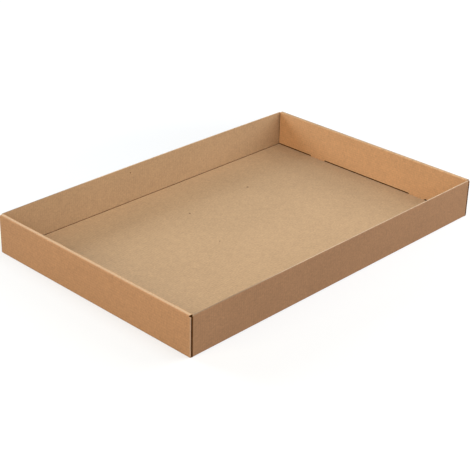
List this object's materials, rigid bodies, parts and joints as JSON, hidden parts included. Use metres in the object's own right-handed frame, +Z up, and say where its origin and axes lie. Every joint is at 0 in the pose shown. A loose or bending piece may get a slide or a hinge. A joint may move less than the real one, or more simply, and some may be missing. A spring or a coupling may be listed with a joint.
{
  "type": "cardboard pallet cap",
  "caption": "Shallow open corrugated cardboard tray that caps a pallet load, folded from one sheet with rolled end walls locked by tabs in the floor.",
  "frame": {"origin": "centre of the underside, where the tray lies on the floor with its open side up", "axes": "+X along the length, towards an end wall; +Y across the width, towards a side wall; +Z up, out of the open side"},
  "size_m": [1.2264, 0.808, 0.125],
  "materials": {
    "board": "matte brown kraft liner"
  },
  "bodies": {
    "root": {"pallet_cap": "board"}
  },
  "joints": []
}
